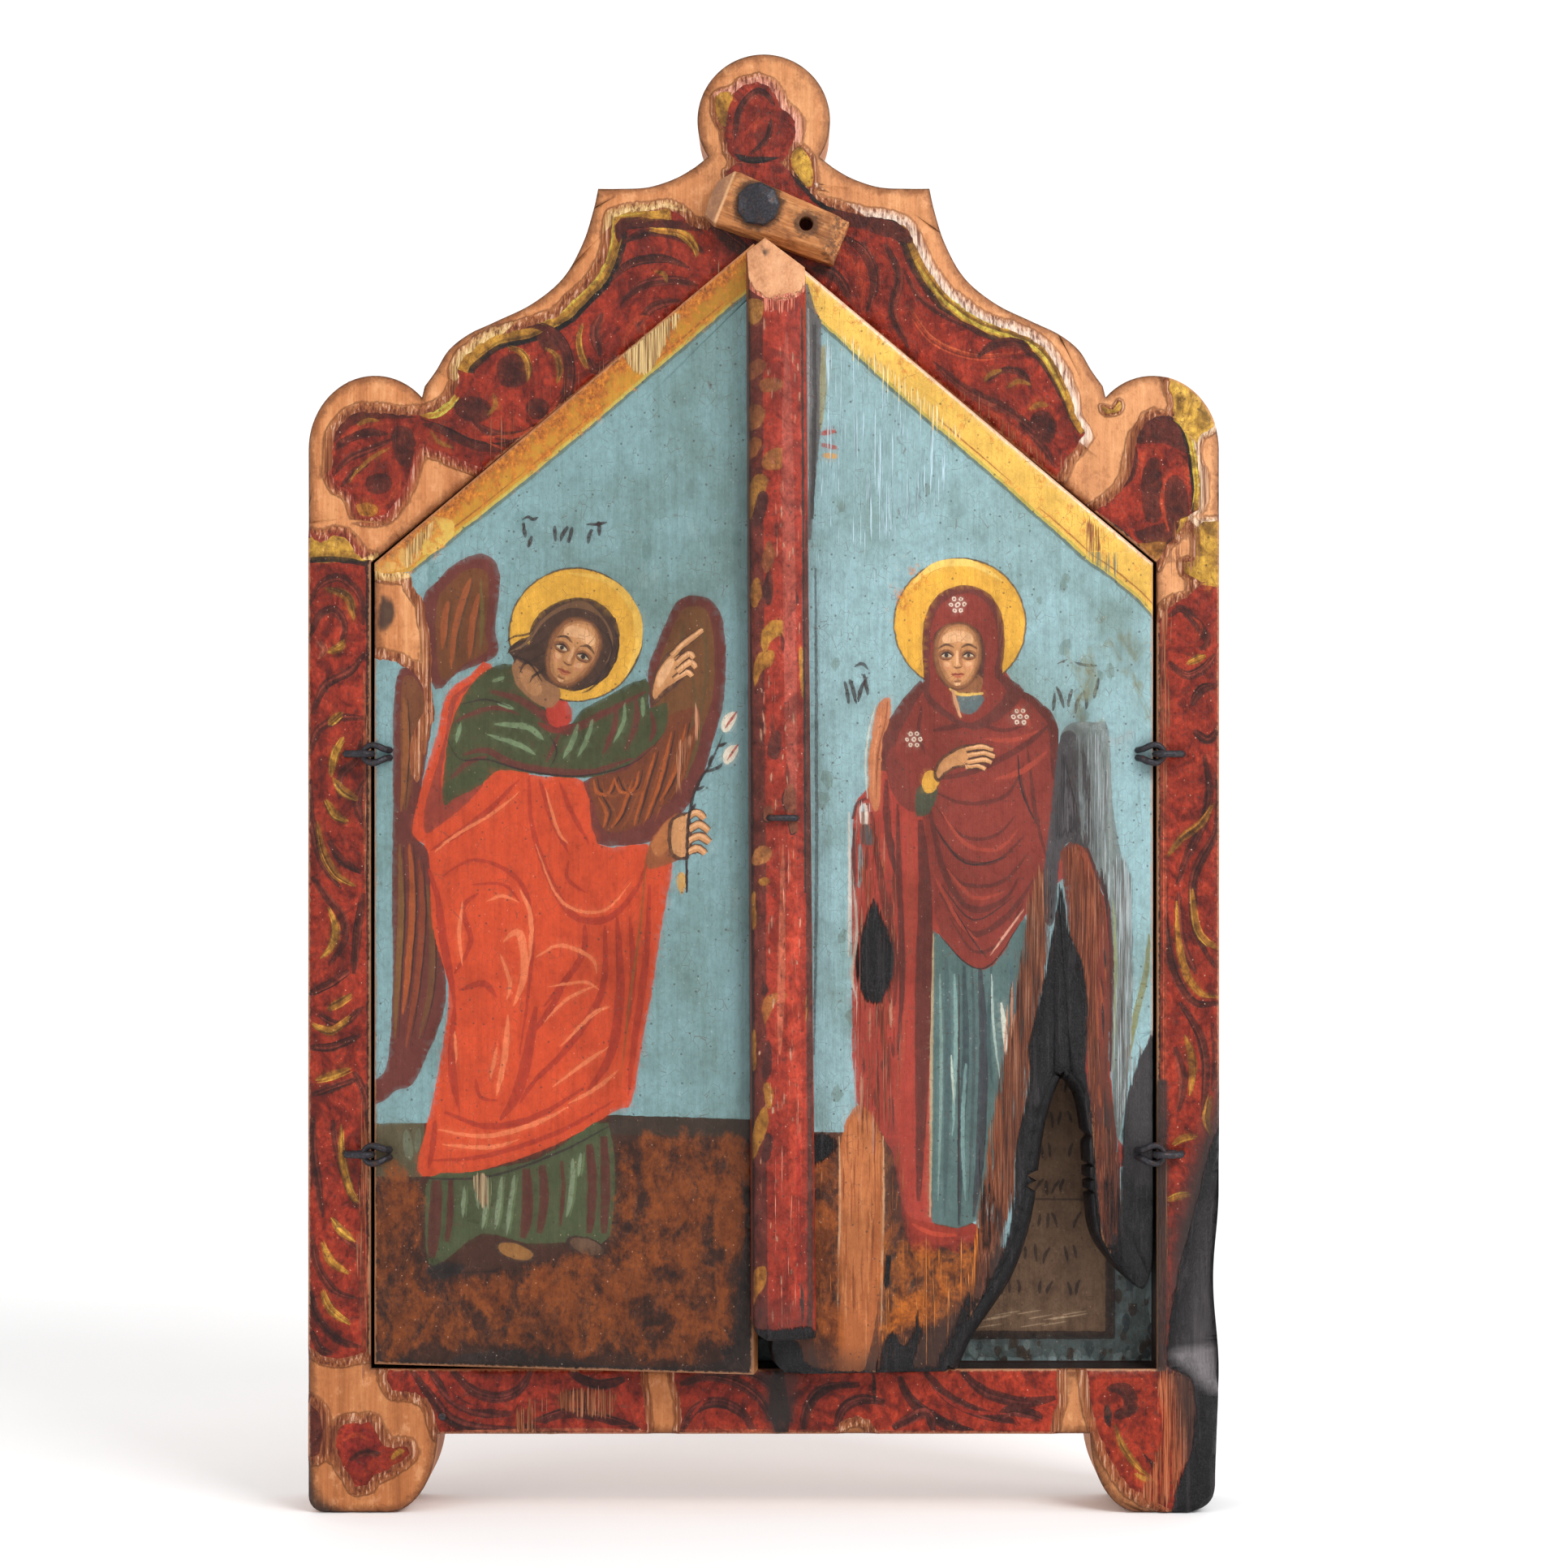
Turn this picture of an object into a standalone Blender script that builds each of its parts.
"""A folding painted icon: one hollowed board with a carved crest, two hinged doors and a turn button.

Everything is drawn as seen from the front: x to the right, z up, and "proud" is the distance in front
of the board's front plane. The doors are drawn closed and flush, then turned ajar on their hinges.
"""
import math

import bmesh
import bpy
from mathutils import Matrix, Vector

MM = 0.001

# The board
BOARD_WIDTH = 281 * MM
BOARD_DEPTH = 36 * MM
FOOT_HEIGHT = 24.3 * MM
RAIL_HEIGHT = 20.2 * MM
STILE_WIDTH = 19 * MM
STILE_HEIGHT = 248.5 * MM
ROOF_PITCH = math.radians(39.3)
FOOT_WIDTH = 39.75 * MM
FOOT_CURVE = 15 * MM
FOOT_CORNER = 5 * MM
EAR_WIDTH = 20.5 * MM
EAR_RISE = 22.8 * MM
EAR_SPRING = 35 * MM
CREST_RISE = 122 * MM
FINIAL_RADIUS = 20.5 * MM

# The recess behind the doors
DOOR_THICKNESS = 12 * MM
PICTURE_ROOM = 6 * MM
SIDE_GAP = 1.6 * MM
ROOF_GAP = 1.55 * MM
BOTTOM_GAP = 0.4 * MM
DOOR_SAG = 1.1 * MM
MEETING_GAP = 2.7 * MM
AJAR = math.radians(7)

# The closing strip on the right door
STRIP_WIDTH = 17.4 * MM
STRIP_FOOT_WIDTH = 19.4 * MM
STRIP_LEAN = 2.4 * MM
STRIP_DEPTH = 10 * MM
STRIP_SIDE = 5.5 * MM
STRIP_LAP = 3.1 * MM
STRIP_FOOT = 12 * MM
STRIP_BEVEL_DROP = 20.4 * MM

# Hinges of bent wire
WIRE_RADIUS = 1.0 * MM
EYE_RADIUS = 2.55 * MM
EYE_CLEARANCE = 0.35 * MM
PIN_OUTSET = 2.9 * MM
LEG_SPACING = 2.3 * MM
LEG_DEPTH = 8 * MM
LEG_CLEARANCE = 0.65 * MM
EYE_REACH = 4.9 * MM
RING_REACH = 7.2 * MM
RING_RADIUS = 2.75 * MM
HINGE_HEIGHTS = (66.5 * MM, 189.5 * MM)

# The turn button and its nail
BUTTON_THICKNESS = 9 * MM
BUTTON_ARM = 28 * MM
BUTTON_HEEL = 15 * MM
BUTTON_HALF_WIDTHS = (8.8 * MM, 7.05 * MM)
BUTTON_OFFSET = -1.45 * MM
BUTTON_TILT = math.radians(21.2)
BUTTON_RISE = 9.4 * MM
BUTTON_SHIFT = -1.7 * MM
SPARE_HOLE_REACH = 15.8 * MM
SPARE_HOLE_RADIUS = 2.1 * MM
NAIL_RADIUS = 1.8 * MM
NAIL_HEAD_RADIUS = 6.7 * MM
NAIL_HEAD_HEIGHT = 2.6 * MM
NAIL_DEPTH = 18 * MM

# Small iron
STAPLE_WIDTH = 8 * MM
STAPLE_HEIGHT = 170 * MM
STAPLE_PROUD = 1.6 * MM
SMALL_NAIL_RADIUS = 0.9 * MM
SMALL_NAIL_HEAD_RADIUS = 1.4 * MM
SMALL_NAIL_INSET = 41.5 * MM
SMALL_NAIL_RISE = 5.7 * MM

GAP = 0.3 * MM
ARC_STEPS = 10
WIRE_STEPS = 3
HOLE_SIDES = 12

# Worked out from the sizes above
HALF_WIDTH = BOARD_WIDTH / 2
OPENING_HALF = HALF_WIDTH - STILE_WIDTH
OPENING_BOTTOM = FOOT_HEIGHT + RAIL_HEIGHT
OPENING_SHOULDER = OPENING_BOTTOM + STILE_HEIGHT
ROOF_SLOPE = math.tan(ROOF_PITCH)
OPENING_PEAK = OPENING_SHOULDER + OPENING_HALF * ROOF_SLOPE
CREST_BASE = OPENING_SHOULDER + EAR_SPRING
BOARD_HEIGHT = CREST_BASE + CREST_RISE
FINIAL_CENTRE = BOARD_HEIGHT - FINIAL_RADIUS
RECESS_DEPTH = DOOR_THICKNESS + PICTURE_ROOM
DOOR_EDGE = OPENING_HALF - SIDE_GAP
DOOR_PEAK = OPENING_PEAK - ROOF_GAP
STRIP_TOP_MIDDLE = STRIP_WIDTH / 2 - MEETING_GAP - STRIP_LAP
STRIP_SPAN = DOOR_PEAK - OPENING_BOTTOM - STRIP_FOOT
STAPLE_SHARE = (DOOR_PEAK - OPENING_BOTTOM - STAPLE_HEIGHT) / STRIP_SPAN
STAPLE_MIDDLE = STRIP_TOP_MIDDLE + STRIP_LEAN * STAPLE_SHARE
PIN_X = DOOR_EDGE + PIN_OUTSET
PIN_PROUD = EYE_RADIUS + WIRE_RADIUS + EYE_CLEARANCE
BUTTON_PIVOT = Vector((BUTTON_SHIFT, 0, OPENING_PEAK + BUTTON_RISE))
SMALL_NAIL_PLACE = (SMALL_NAIL_INSET - HALF_WIDTH, FOOT_HEIGHT + SMALL_NAIL_RISE)

# The staple on the strip stands furthest forward, and the board's back furthest behind.
STAPLE_FRONT = GAP + STRIP_DEPTH + STAPLE_PROUD + WIRE_RADIUS * 0.87
REACH_ACROSS = PIN_X - STAPLE_MIDDLE + STAPLE_WIDTH / 2 - WIRE_RADIUS * 1.5
FRONT_REACH = (
    PIN_PROUD + REACH_ACROSS * math.sin(AJAR) + (STAPLE_FRONT - PIN_PROUD) * math.cos(AJAR)
)
FRONT_Y = (FRONT_REACH - BOARD_DEPTH) / 2

# Half of the crest's scroll, from the notch by the ear to the corner below the finial:
# each point is a share of the board's half width and of the crest's rise.
SCROLL = (
    (0.745, 0.160),
    (0.720, 0.200),
    (0.692, 0.252),
    (0.648, 0.292),
    (0.589, 0.324),
    (0.509, 0.369),
    (0.441, 0.434),
    (0.398, 0.521),
    (0.375, 0.603),
    (0.364, 0.660),
)
CAVETTO = (
    (0.364, 0.660),
    (0.318, 0.660),
    (0.253, 0.664),
    (0.192, 0.687),
    (0.146, 0.718),
)
EAR_END = math.radians(135)
NECK_ANGLE = math.radians(-33)

# The right door's lower meeting corner, burnt round: across from the edge and up from the foot.
CORNER_BURN = (
    (0.0, 13.5 * MM),
    (2.6 * MM, 11.2 * MM),
    (2.4 * MM, 7.2 * MM),
    (3.4 * MM, 3.2 * MM),
    (6.1 * MM, 0.6 * MM),
    (13.0 * MM, 0.0),
)

# The burn in the right door, from the door's hinge edge inwards and up from its lower edge.
BURN_LEFT_SIDE = (
    (60.2 * MM, -6.0 * MM),
    (60.2 * MM, 1.2 * MM),
    (55.7 * MM, 10.0 * MM),
    (47.7 * MM, 21.5 * MM),
    (41.7 * MM, 33.0 * MM),
    (37.2 * MM, 48.0 * MM),
    (35.0 * MM, 64.0 * MM),
    (32.6 * MM, 78.0 * MM),
    (28.2 * MM, 90.0 * MM),
)
BURN_RIGHT_SIDE = (
    (28.2 * MM, 90.0 * MM),
    (23.8 * MM, 84.5 * MM),
    (21.3 * MM, 73.0 * MM),
    (20.0 * MM, 52.0 * MM),
    (18.0 * MM, 40.5 * MM),
    (12.2 * MM, 32.0 * MM),
    (5.6 * MM, 25.6 * MM),
    (2.6 * MM, 24.4 * MM),
    (0.6 * MM, 30.0 * MM),
    (-1.0 * MM, 41.0 * MM),
)
BURN_TAPER = 48 * MM
BURN_BEVEL = ((-1.0 * MM, 6.6 * MM), (0.0, 5.8 * MM), (2.2 * MM, 2.4 * MM), (6.0 * MM, 0.0))


def smooth(points, steps):
    """A curve through all the points, as a list that keeps its two ends."""
    ends = [points[0], *points, points[-1]]
    curve = []
    for before, start, end, after in zip(ends, ends[1:], ends[2:], ends[3:]):
        before, start, end, after = map(Vector, (before, start, end, after))
        for step in range(steps):
            t = step / steps
            pull = (end - before) * t + (2 * before - 5 * start + 4 * end - after) * t**2
            pull += (3 * start - before - 3 * end + after) * t**3
            curve.append(start + pull / 2)
    curve.append(Vector(points[-1]))
    return curve


def arc(centre_x, centre_z, radius_x, radius_z, start, end, steps=ARC_STEPS):
    """Points along an ellipse between two angles, both ends included."""
    angles = (start + (end - start) * step / steps for step in range(steps + 1))
    return [
        Vector((centre_x + radius_x * math.cos(angle), centre_z + radius_z * math.sin(angle)))
        for angle in angles
    ]


def crest(points):
    """Shares of the half width and of the crest's rise, as places on the board."""
    return [(x * HALF_WIDTH, CREST_BASE + z * CREST_RISE) for x, z in points]


def half_board():
    """The board's right half, from the middle of its lower edge round to the top of the finial."""
    foot_inside = HALF_WIDTH - FOOT_WIDTH + FOOT_CURVE
    points = arc(foot_inside, FOOT_HEIGHT, FOOT_CURVE, FOOT_HEIGHT, math.pi, 1.5 * math.pi)
    points += arc(
        HALF_WIDTH - FOOT_CORNER, FOOT_CORNER, FOOT_CORNER, FOOT_CORNER, -math.pi / 2, 0, 4
    )
    points += arc(HALF_WIDTH - EAR_WIDTH, CREST_BASE, EAR_WIDTH, EAR_RISE, 0, EAR_END, 14)
    points += smooth(crest(SCROLL), 3)[:-1]
    points += smooth(crest(CAVETTO), 3)[:-1]
    points += arc(0, FINIAL_CENTRE, FINIAL_RADIUS, FINIAL_RADIUS, NECK_ANGLE, math.pi / 2, 14)
    return points


def board_outline():
    right = half_board()
    left = [Vector((-point.x, point.y)) for point in reversed(right[:-1])]
    return right + left


def opening_outline():
    return [
        (-OPENING_HALF, OPENING_BOTTOM),
        (OPENING_HALF, OPENING_BOTTOM),
        (OPENING_HALF, OPENING_SHOULDER),
        (0, OPENING_PEAK),
        (-OPENING_HALF, OPENING_SHOULDER),
    ]


def roof_at(x):
    """The height of the doors' sloping upper edge."""
    return DOOR_PEAK - abs(x) * ROOF_SLOPE


def door_outline(side, meeting):
    """A door from its hinge edge to its meeting edge; side is -1 on the left and 1 on the right."""
    hinge = side * DOOR_EDGE
    foot = OPENING_BOTTOM + BOTTOM_GAP
    top = [(meeting, roof_at(meeting)), (hinge, roof_at(hinge))]
    if side < 0:
        return [(hinge, foot + DOOR_SAG), (meeting, foot), *top]
    burnt = [(meeting + across, foot + up) for across, up in reversed(CORNER_BURN)]
    return [(hinge, foot), *burnt, *top]


def loft(rings):
    """A closed solid through rings of points, each ring with as many points."""
    mesh = bmesh.new()
    rows = [[mesh.verts.new(point) for point in ring] for ring in rings]
    for low, high in zip(rows, rows[1:]):
        count = len(low)
        for index in range(count):
            following = (index + 1) % count
            mesh.faces.new((low[index], low[following], high[following], high[index]))
    mesh.faces.new(rows[0][::-1])
    mesh.faces.new(rows[-1])
    bmesh.ops.recalc_face_normals(mesh, faces=mesh.faces)
    return mesh


def slab(outline, proud, thickness):
    """An outline seen from the front, as a solid whose front face stands that far proud."""
    return loft(
        [
            [(x, -proud + depth, z) for x, z in outline]
            for depth in (0, thickness)
        ]
    )


def rod(radius, length, sides, start):
    """A round bar that runs back from its start."""
    ring = [
        (radius * math.cos(math.tau * step / sides), radius * math.sin(math.tau * step / sides))
        for step in range(sides)
    ]
    return loft(
        [
            [(start[0] + x, start[1] + depth, start[2] + z) for x, z in ring]
            for depth in (0, length)
        ]
    )


def cut_away(mesh, point, normal):
    """Takes off what lies beyond a plane and closes the cut."""
    everything = mesh.verts[:] + mesh.edges[:] + mesh.faces[:]
    bmesh.ops.bisect_plane(
        mesh, geom=everything, plane_co=point, plane_no=normal, clear_outer=True, dist=1e-7
    )
    open_edges = [edge for edge in mesh.edges if edge.is_boundary]
    bmesh.ops.holes_fill(mesh, edges=open_edges, sides=0)
    bmesh.ops.recalc_face_normals(mesh, faces=mesh.faces)


def material(name, colour, roughness, metallic=0.0):
    made = bpy.data.materials.new(name)
    made.use_nodes = True
    shader = made.node_tree.nodes["Principled BSDF"]
    shader.inputs["Base Color"].default_value = (*colour, 1)
    shader.inputs["Roughness"].default_value = roughness
    shader.inputs["Metallic"].default_value = metallic
    return made


def piece(name, mesh, finish, parent=None):
    """An object made from the mesh, in its parent's own space."""
    data = bpy.data.meshes.new(name)
    mesh.to_mesh(data)
    mesh.free()
    made = bpy.data.objects.new(name, data)
    bpy.context.collection.objects.link(made)
    made.parent = parent
    if finish:
        data.materials.append(finish)
    return made


def cutter(name, mesh, target):
    """Cuts a shape out of the target, in the target's own space."""
    made = piece(name, mesh, None, target.parent)
    made.hide_render = True
    made.display_type = "WIRE"
    cut = target.modifiers.new(name, "BOOLEAN")
    cut.operation = "DIFFERENCE"
    cut.solver = "EXACT"
    cut.object = made
    return made


def empty(name, location, parent=None, rotation=(0, 0, 0)):
    made = bpy.data.objects.new(name, None)
    bpy.context.collection.objects.link(made)
    made.location = location
    made.rotation_euler = rotation
    made.parent = parent
    return made


def wire(name, points, finish, parent):
    """A bent wire along the points."""
    curve = bpy.data.curves.new(name, "CURVE")
    curve.dimensions = "3D"
    curve.bevel_depth = WIRE_RADIUS
    curve.bevel_resolution = 1
    curve.use_fill_caps = True
    spline = curve.splines.new("POLY")
    spline.points.add(len(points) - 1)
    for point, place in zip(spline.points, points):
        point.co = (*place, 1)
    made = bpy.data.objects.new(name, curve)
    bpy.context.collection.objects.link(made)
    made.parent = parent
    curve.materials.append(finish)
    return made


def eye_points(side, height):
    """The board's eye: a level loop round the hinge pin, whose two legs go back into the board.

    The points are measured from the pin: across towards the door, and forward.
    """
    near_leg = -EYE_REACH + LEG_SPACING / 2
    far_leg = -EYE_REACH - LEG_SPACING / 2
    bottom = -PIN_PROUD - LEG_DEPTH
    loop = arc(0, 0, EYE_RADIUS, EYE_RADIUS, math.radians(110), math.radians(-90), 10)
    route = [(far_leg, bottom), (far_leg, -PIN_PROUD), (far_leg + LEG_SPACING / 3, 0)]
    route += [(-EYE_RADIUS * 1.15, EYE_RADIUS * 0.72), *loop]
    route += [(near_leg + WIRE_RADIUS * 1.2, -EYE_RADIUS)]
    route += [(near_leg + WIRE_RADIUS * 0.35, -EYE_RADIUS - WIRE_RADIUS * 0.35)]
    route += [(near_leg, -PIN_PROUD), (near_leg, bottom)]
    return [Vector((-side * across, -forward, height)) for across, forward in route]


def ring_points(side, height):
    """The door's ring: an upright loop through the board's eye, with two legs into the door.

    Its outermost stretch is the hinge pin. The points are measured from the pin: across towards
    the middle of the icon, forward, and up.
    """
    half = LEG_SPACING / 2
    lower = [
        (RING_REACH, -PIN_PROUD - LEG_DEPTH, half),
        (RING_REACH, -PIN_PROUD, half),
        (RING_REACH - WIRE_RADIUS, -PIN_PROUD * 0.28, half * 1.3),
        (RING_REACH - WIRE_RADIUS * 2.5, 0, half * 2),
    ]
    turn = arc(RING_RADIUS, 0, RING_RADIUS, RING_RADIUS, math.radians(75), math.radians(285), 10)
    loop = [(across, 0, up) for across, up in turn]
    route = lower + loop + [(across, forward, -up) for across, forward, up in reversed(lower)]
    return [Vector((-side * across, -forward, height + up)) for across, forward, up in route]


def leg_hole(across, height, front_y):
    """A drilled hole for the two legs of a wire loop."""
    radius = LEG_SPACING / 2 + WIRE_RADIUS + LEG_CLEARANCE
    start = (across, front_y - WIRE_RADIUS, height)
    return rod(radius, LEG_DEPTH + WIRE_RADIUS * 2, HOLE_SIDES, start)


def build_board(root, finish):
    board = piece("case_board", slab(board_outline(), 0, BOARD_DEPTH), finish, root)
    cutter("recess_cut", slab(opening_outline(), GAP * 10, RECESS_DEPTH + GAP * 10), board)
    for side, letter in ((-1, "left"), (1, "right")):
        for number, height in enumerate(HINGE_HEIGHTS, 1):
            hole = leg_hole(side * (PIN_X + EYE_REACH), OPENING_BOTTOM + height, 0)
            cutter(f"{letter}_eye_hole_{number}", hole, board)
    pivot_hole = rod(
        NAIL_RADIUS + GAP,
        NAIL_DEPTH + GAP * 11,
        HOLE_SIDES,
        BUTTON_PIVOT - Vector((0, GAP * 10, 0)),
    )
    cutter("pivot_hole", pivot_hole, board)
    x, z = SMALL_NAIL_PLACE
    small_hole = rod(SMALL_NAIL_RADIUS + GAP, LEG_DEPTH, 8, (x, -WIRE_RADIUS, z))
    cutter("small_nail_hole", small_hole, board)
    return board


def burn_outline():
    """The burnt edge of the right door, seen from the front, and then round below the door."""
    edge = smooth(BURN_LEFT_SIDE, 3) + smooth(BURN_RIGHT_SIDE, 3)[1:]
    low_edge = OPENING_BOTTOM + BOTTOM_GAP
    points = [Vector((DOOR_EDGE - inwards, low_edge + up)) for inwards, up in edge]
    below = low_edge - DOOR_THICKNESS
    beyond = DOOR_EDGE + DOOR_THICKNESS
    points += [Vector((beyond, points[-1].y)), Vector((beyond, below))]
    points += [Vector((points[0].x, below))]
    return points


def grown(outline, width):
    """The outline pushed out at right angles to itself, less so towards the hinge edge."""
    count = len(outline)
    moved = []
    for index, point in enumerate(outline):
        along = outline[(index + 1) % count] - outline[index - 1]
        out = Vector((-along.y, along.x)).normalized()
        share = min(1.0, max(0.0, DOOR_EDGE - point.x) / BURN_TAPER)
        moved.append(point + out * width * share)
    return moved


def burn_cut():
    """The burnt-through gap, wider at the door's face, where the fire has rounded the edge."""
    outline = burn_outline()
    rings = [(depth, grown(outline, width)) for depth, width in BURN_BEVEL]
    rings.append((DOOR_THICKNESS + GAP * 10, outline))
    return loft([[(x, depth, z) for x, z in ring] for depth, ring in rings])


def build_door(side, meeting, hinge, finish):
    """A door in its hinge's space, where the hinge pin is the z axis."""
    name = "left_door" if side < 0 else "right_door"
    shape = slab(door_outline(side, meeting), 0, DOOR_THICKNESS)
    to_hinge = Matrix.Translation((-side * PIN_X, PIN_PROUD, 0))
    shape.transform(to_hinge)
    door = piece(name, shape, finish, hinge)
    for number, height in enumerate(HINGE_HEIGHTS, 1):
        hole = leg_hole(side * (PIN_X - RING_REACH), OPENING_BOTTOM + height, 0)
        hole.transform(to_hinge)
        cutter(f"{name}_ring_hole_{number}", hole, door)
    return door


def strip_ring(middle, width, z):
    """The closing strip's section at one height."""
    crown = arc(middle, STRIP_SIDE, width / 2, STRIP_DEPTH - STRIP_SIDE, math.pi, 0, 12)
    profile = [(middle - width / 2, 0), *crown, (middle + width / 2, 0)]
    return [(x, -GAP - proud, z) for x, proud in profile]


def build_strip(hinge, finish):
    """The rounded strip: its top follows the doors' roof and is bevelled, its foot is burnt."""
    foot = OPENING_BOTTOM + STRIP_FOOT
    shape = loft(
        [
            strip_ring(STRIP_TOP_MIDDLE + STRIP_LEAN, STRIP_FOOT_WIDTH, foot),
            strip_ring(STRIP_TOP_MIDDLE, STRIP_WIDTH, DOOR_PEAK),
        ]
    )
    roof = Vector((ROOF_SLOPE, 0, 1)).normalized()
    cut_away(shape, (0, 0, DOOR_PEAK), roof)
    cut_away(shape, (0, 0, DOOR_PEAK), (-roof.x, 0, roof.z))
    cut_away(shape, (0, -GAP, DOOR_PEAK), (0, -STRIP_BEVEL_DROP, STRIP_DEPTH))
    burnt_corner = (STRIP_TOP_MIDDLE + STRIP_LEAN - STRIP_FOOT_WIDTH / 2, 0, foot + STRIP_SIDE / 2)
    cut_away(shape, burnt_corner, (-1, -0.2, -0.9))
    shape.transform(Matrix.Translation((-PIN_X, PIN_PROUD, 0)))
    strip = piece("closing_strip", shape, finish, hinge)
    for number, side in enumerate((-1, 1), 1):
        x = STAPLE_MIDDLE + side * STAPLE_WIDTH / 2
        start = (x, -GAP - STRIP_DEPTH - WIRE_RADIUS, OPENING_BOTTOM + STAPLE_HEIGHT)
        hole = rod(WIRE_RADIUS + GAP, STRIP_DEPTH * 0.8, 8, start)
        hole.transform(Matrix.Translation((-PIN_X, PIN_PROUD, 0)))
        cutter(f"staple_hole_{number}", hole, strip)
    return strip


def build_staple(hinge, finish):
    """A wire staple across the closing strip."""
    half = STAPLE_WIDTH / 2
    crown = GAP + STRIP_DEPTH + STAPLE_PROUD
    deep = GAP + STRIP_DEPTH * 0.4
    corner = WIRE_RADIUS * 1.5
    route = [(-half, deep), (-half, crown - corner), (-half + corner * 0.3, crown - corner * 0.3)]
    route += [(-half + corner, crown)]
    route += [(-across, forward) for across, forward in reversed(route)]
    height = OPENING_BOTTOM + STAPLE_HEIGHT
    middle = STAPLE_MIDDLE - PIN_X
    places = [Vector((middle + x, PIN_PROUD - forward, height)) for x, forward in route]
    return wire("strip_staple", places, finish, hinge)


def button_outline():
    """The turn button with its long arm along +x, measured from its nail."""
    heel_half, arm_half = BUTTON_HALF_WIDTHS
    return [
        (-BUTTON_HEEL * 0.72, BUTTON_OFFSET - heel_half),
        (BUTTON_ARM, BUTTON_OFFSET - arm_half),
        (BUTTON_ARM, BUTTON_OFFSET + arm_half),
        (-BUTTON_HEEL * 0.70, BUTTON_OFFSET + heel_half),
        (-BUTTON_HEEL * 0.96, BUTTON_OFFSET + heel_half * 0.5),
        (-BUTTON_HEEL, BUTTON_OFFSET - heel_half * 0.12),
        (-BUTTON_HEEL * 0.97, BUTTON_OFFSET - heel_half * 0.8),
    ]


def build_button(pivot, finish):
    shape = slab(button_outline(), GAP + BUTTON_THICKNESS, BUTTON_THICKNESS)
    front = -GAP - BUTTON_THICKNESS
    arm_half = BUTTON_HALF_WIDTHS[1]
    slope = BUTTON_THICKNESS * 0.5
    cut_away(shape, (BUTTON_ARM - slope, front, 0), (0.62, -0.75, 0))
    cut_away(shape, (BUTTON_ARM - slope, front, BUTTON_OFFSET - arm_half * 0.5), (0.1, -0.7, -0.72))
    cut_away(shape, (-BUTTON_HEEL * 0.66, front, 0), (-0.62, -0.7, 0.1))
    button = piece("turn_button", shape, finish, pivot)
    through = BUTTON_THICKNESS * 1.5
    for name, x, radius in (
        ("nail_way", 0, NAIL_RADIUS + GAP),
        ("spare_hole", SPARE_HOLE_REACH, SPARE_HOLE_RADIUS),
    ):
        start = (x, front - BUTTON_THICKNESS * 0.25, 0)
        cutter(name, rod(radius, through, HOLE_SIDES, start), button)
    return button


def build_nail(parent, finish):
    """The button's nail: a forged head of two flat slopes on a round shank."""
    head_back = GAP * 2 + BUTTON_THICKNESS
    sides = 16
    rings = []
    for depth, share in ((0, 0.86), (0.35, 1.0), (0.8, 0.98), (1.0, 0.9)):
        ring = []
        for step in range(sides):
            angle = math.tau * (step + 0.5) / sides
            x, z = math.cos(angle), math.sin(angle)
            ridge = (1 - abs(z)) * 0.3 if depth == 0 else 0.0
            forward = head_back + NAIL_HEAD_HEIGHT * (0.8 - depth * 0.8 + ridge)
            ring.append((x * share * NAIL_HEAD_RADIUS, -forward, z * share * NAIL_HEAD_RADIUS))
        rings.append(ring)
    for back in (head_back, -NAIL_DEPTH):
        ring = []
        for step in range(sides):
            angle = math.tau * (step + 0.5) / sides
            ring.append((NAIL_RADIUS * math.cos(angle), -back, NAIL_RADIUS * math.sin(angle)))
        rings.append(ring)
    nail = piece("button_nail", loft(rings), finish, parent)
    nail.location = BUTTON_PIVOT
    return nail


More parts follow.
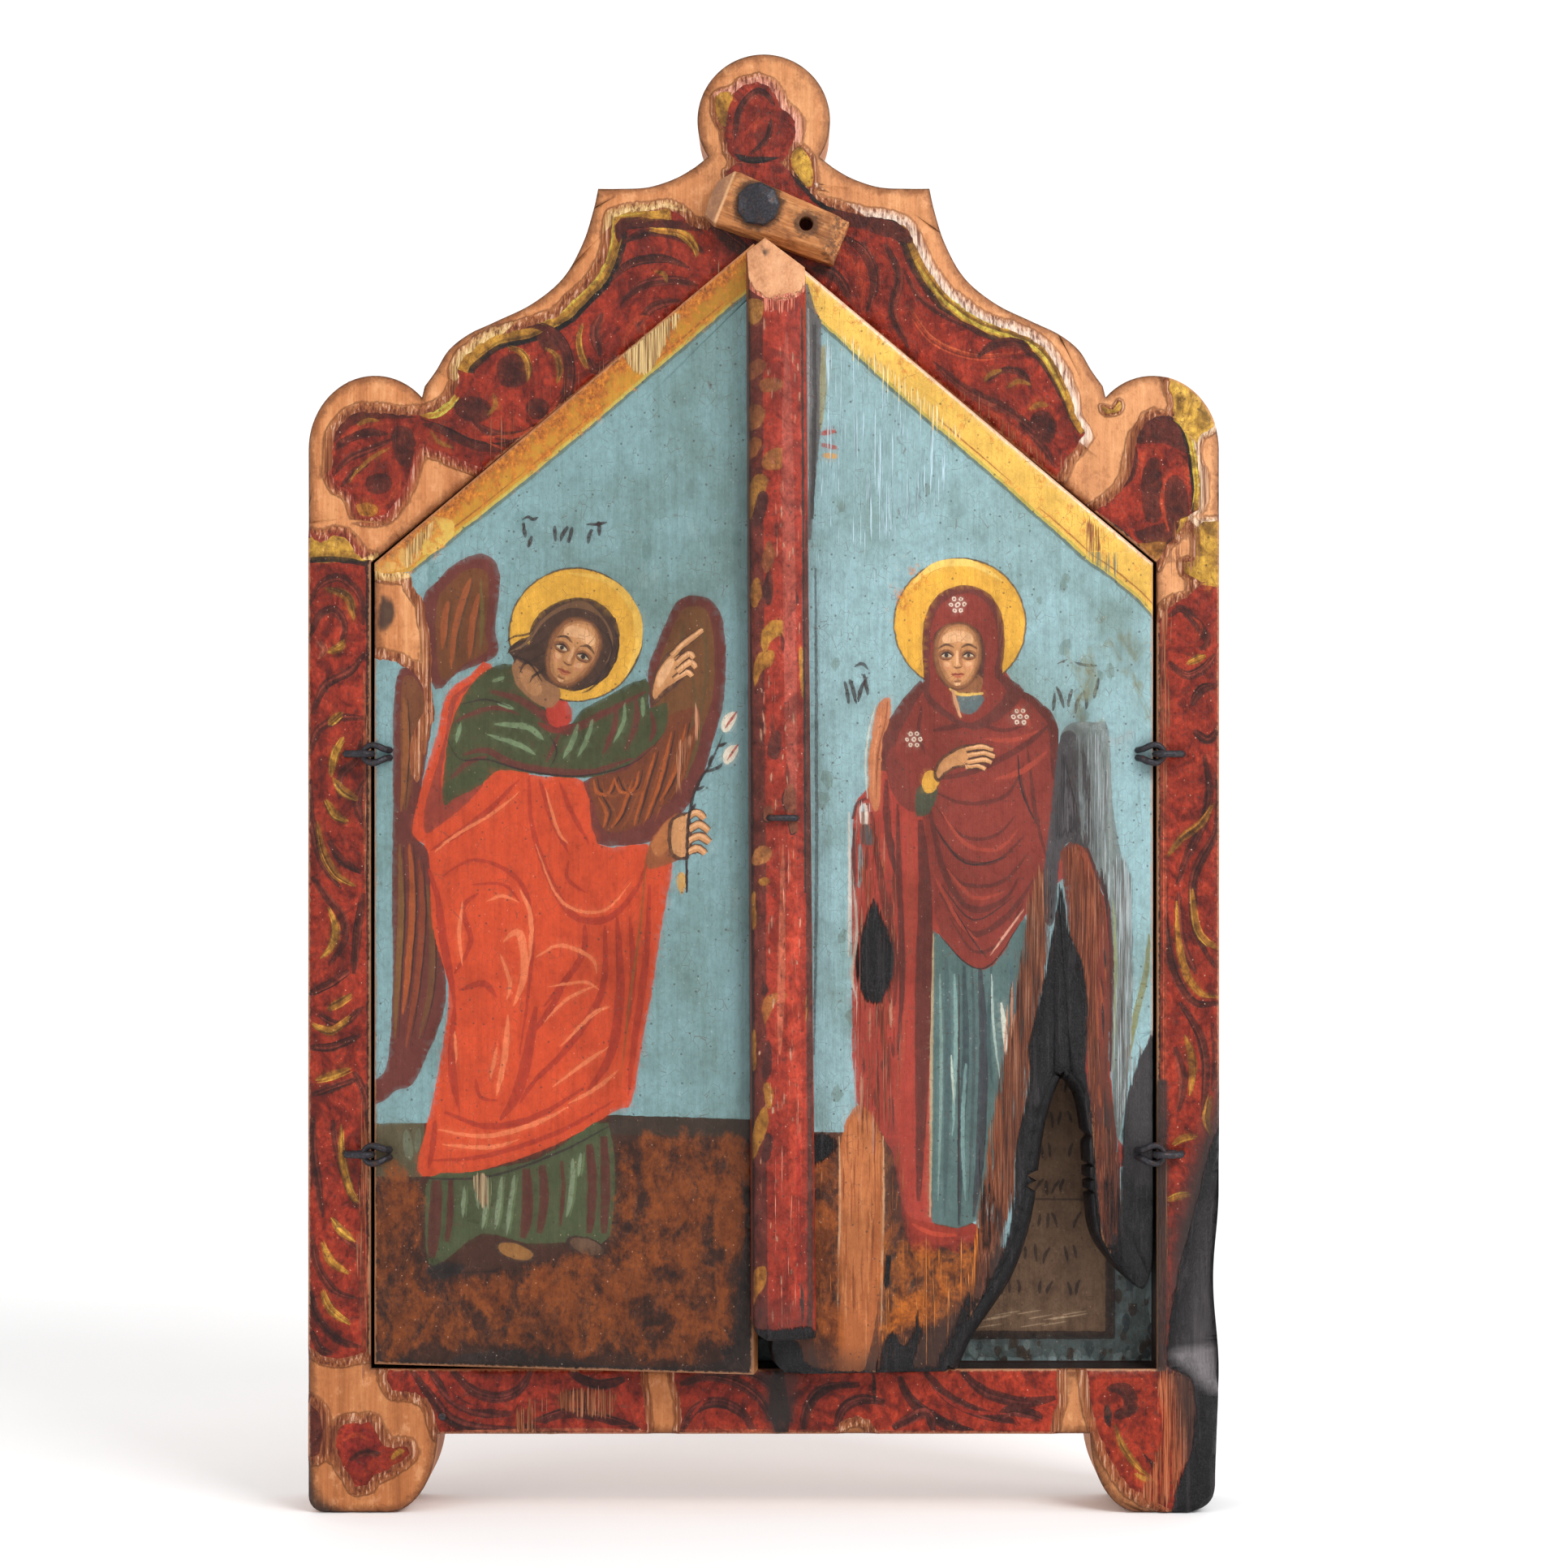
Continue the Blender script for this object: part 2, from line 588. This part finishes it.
def build_small_nail(parent, finish):
    sides = 8
    rings = []
    for forward, radius in (
        (WIRE_RADIUS, SMALL_NAIL_HEAD_RADIUS * 0.7),
        (WIRE_RADIUS * 0.7, SMALL_NAIL_HEAD_RADIUS),
        (GAP, SMALL_NAIL_HEAD_RADIUS),
        (GAP * 0.99, SMALL_NAIL_RADIUS),
        (WIRE_RADIUS * 2 - LEG_DEPTH, SMALL_NAIL_RADIUS),
    ):
        angles = [math.tau * step / sides for step in range(sides)]
        rings.append([(radius * math.cos(a), -forward, radius * math.sin(a)) for a in angles])
    nail = piece("small_nail", loft(rings), finish, parent)
    x, z = SMALL_NAIL_PLACE
    nail.location = (x, 0, z)
    return nail


def main():
    for old in list(bpy.data.objects):
        bpy.data.objects.remove(old, do_unlink=True)

    red_paint = material("red_painted_wood", (0.30, 0.05, 0.03), 0.5)
    blue_paint = material("blue_painted_wood", (0.23, 0.38, 0.41), 0.5)
    bare_wood = material("bare_wood", (0.50, 0.26, 0.12), 0.6)
    strip_paint = material("strip_painted_wood", (0.36, 0.09, 0.06), 0.5)
    iron = material("forged_iron", (0.06, 0.06, 0.065), 0.55, 0.9)

    root = empty("icon", (0, FRONT_Y, 0))
    build_board(root, red_paint)
    hinges = {}
    for side, letter in ((-1, "left"), (1, "right")):
        hinges[side] = empty(
            f"{letter}_hinge", (side * PIN_X, -PIN_PROUD, 0), root, (0, 0, side * AJAR)
        )
        outer = empty(f"{letter}_outer", (side * PIN_X, -PIN_PROUD, 0), root)
        for number, height in enumerate(HINGE_HEIGHTS, 1):
            place = OPENING_BOTTOM + height
            wire(f"{letter}_eye_{number}", eye_points(side, place), iron, outer)
            wire(f"{letter}_ring_{number}", ring_points(side, place), iron, hinges[side])

    build_door(-1, -MEETING_GAP, hinges[-1], blue_paint)
    right_door = build_door(1, 0, hinges[1], blue_paint)
    burn = burn_cut()
    burn.transform(Matrix.Translation((-PIN_X, PIN_PROUD, 0)))
    cutter("burn", burn, right_door)
    build_strip(hinges[1], strip_paint)
    build_staple(hinges[1], iron)

    pivot = empty("button_pivot", BUTTON_PIVOT, root, (0, BUTTON_TILT, 0))
    build_button(pivot, bare_wood)
    build_nail(root, iron)
    build_small_nail(root, iron)


main()
